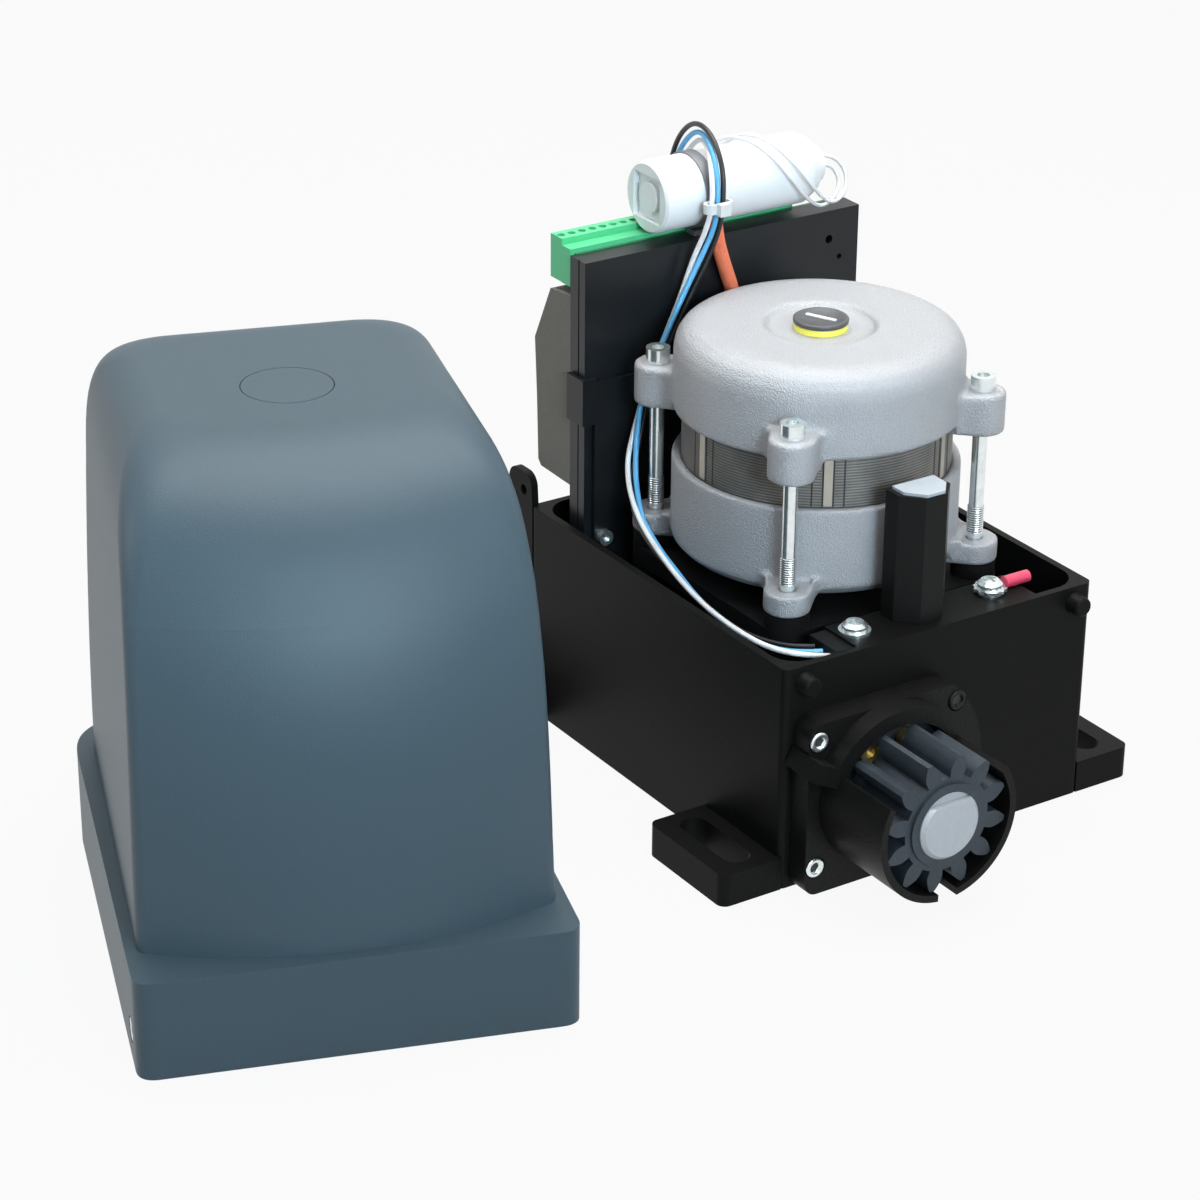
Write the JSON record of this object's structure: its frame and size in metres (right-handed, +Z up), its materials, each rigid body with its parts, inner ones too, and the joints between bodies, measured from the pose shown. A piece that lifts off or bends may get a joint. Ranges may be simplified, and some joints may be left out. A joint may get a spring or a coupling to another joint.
{
  "type": "sliding gate motor",
  "caption": "Sliding gate motor with a worm drive, toothed pinion in a guard and control box, its cover lifted off and standing beside it.",
  "frame": {"origin": "on the floor, centre of the four slotted fixing holes in the base's feet", "axes": "+X along the output shaft towards the pinion, +Y across the base towards the side with the earth screw, +Z up"},
  "size_m": [0.2785, 0.4493, 0.2572],
  "materials": {
    "base_plastic": "satin",
    "cast_aluminium": "as cast",
    "bearing_steel": "ground",
    "black_rubber": "matte",
    "dark_steel": "phosphated",
    "yellow_zinc": "yellow zinc plate",
    "shaft_steel": "ground",
    "pinion_steel": "dark oiled steel",
    "bronze": "machined",
    "laminations": "raw sheet edges",
    "copper_winding": "varnished",
    "bell_aluminium": "sandblasted casting",
    "zinc_steel": "zinc plate",
    "yellow_plastic": "gloss",
    "guard_metal": "satin dark grey",
    "black_plastic": "satin",
    "potting": "cast resin",
    "red_sleeve": "gloss",
    "lid_plastic": "satin",
    "housing_plastic": "matte",
    "board_green": "solder mask",
    "terminal_green": "satin",
    "transformer_grey": "varnished sheet",
    "relay_black": "gloss",
    "plate_metal": "zinc sheet",
    "white_plastic": "gloss",
    "wire_blue_pvc": "pvc",
    "wire_white_pvc": "pvc",
    "wire_black_pvc": "pvc",
    "orange_sleeve": "woven glass sleeve",
    "cover_plastic": "fine satin"
  },
  "bodies": {
    "chassis": {"base_housing": "base_plastic", "gear_case": "cast_aluminium", "gear_case_cover": "cast_aluminium", "front_bearing": "bearing_steel", "rear_bearing": "bearing_steel", "worm_foot_bearing": "bearing_steel", "shaft_seal": "black_rubber", "shaft_flange": "dark_steel", "flange_screws": "yellow_zinc", "motor_lower_bearing": "bearing_steel", "motor_upper_bearing": "bearing_steel", "stator_core": "laminations", "stator_windings": "copper_winding", "lower_bell": "bell_aluminium", "upper_bell": "bell_aluminium", "motor_bolts": "zinc_steel", "pinion_guard": "guard_metal", "guard_screws": "zinc_steel", "sensor_tower": "black_plastic", "sensor_cap": "potting", "ledge_screw": "zinc_steel", "ledge_washer": "zinc_steel", "earth_screw": "zinc_steel", "toothed_washer": "zinc_steel", "ring_terminal": "zinc_steel", "terminal_sleeve": "red_sleeve", "control_box_lid": "lid_plastic", "control_box_housing": "housing_plastic", "circuit_board": "board_green", "terminal_header": "terminal_green", "terminal_plugs": "terminal_green", "transformer": "transformer_grey", "relays": "relay_black", "fuse_holder": "relay_black", "mount_plate": "plate_metal", "capacitor": "white_plastic", "capacitor_strap": "plate_metal", "wire_blue": "wire_blue_pvc", "wire_white": "wire_white_pvc", "wire_black": "wire_black_pvc", "motor_sleeve": "orange_sleeve", "capacitor_lead_a": "wire_white_pvc", "capacitor_lead_b": "wire_white_pvc", "sensor_connector": "black_plastic", "cable_tie": "black_plastic", "lead_grommet": "black_rubber", "case_cover_screws": "zinc_steel", "mount_plate_screws": "zinc_steel"},
    "output": {"output_shaft": "shaft_steel", "shaft_keys": "shaft_steel", "worm_wheel": "bronze", "pinion": "pinion_steel"},
    "rotor": {"motor_shaft": "shaft_steel", "worm": "shaft_steel", "rotor_core": "laminations"},
    "release": {"release_knob": "yellow_plastic", "release_dial": "yellow_plastic"},
    "cover": {"cover_shell": "cover_plastic", "cover_screws": "zinc_steel"},
    "cover_plug": {"release_plug": "cover_plastic"}
  },
  "joints": [
    {"name": "output_spin", "type": "hinge", "parent": "chassis", "child": "output", "pos_m": [0.1, -0.0333, 0.0403], "axis": [1, 0, 0], "continuous": true},
    {"name": "motor_spin", "type": "hinge", "parent": "chassis", "child": "rotor", "pos_m": [0.0262, 0, 0.1], "axis": [0, 0, 1], "continuous": true},
    {"name": "release_turn", "type": "hinge", "parent": "chassis", "child": "release", "pos_m": [0.0262, 0, 0.19], "axis": [0, 0, 1], "range_deg": [0, 90]},
    {"name": "cover_lift", "type": "slide", "parent": "chassis", "child": "cover", "axis": [0, 0, 1], "range_m": [0, 0.3]},
    {"name": "plug_lift", "type": "slide", "parent": "cover", "child": "cover_plug", "axis": [0, 0, 1], "range_m": [0, 0.03]}
  ],
  "couplings": [
    {"joint": "motor_spin", "follows": "output_spin", "ratio": -30}
  ]
}
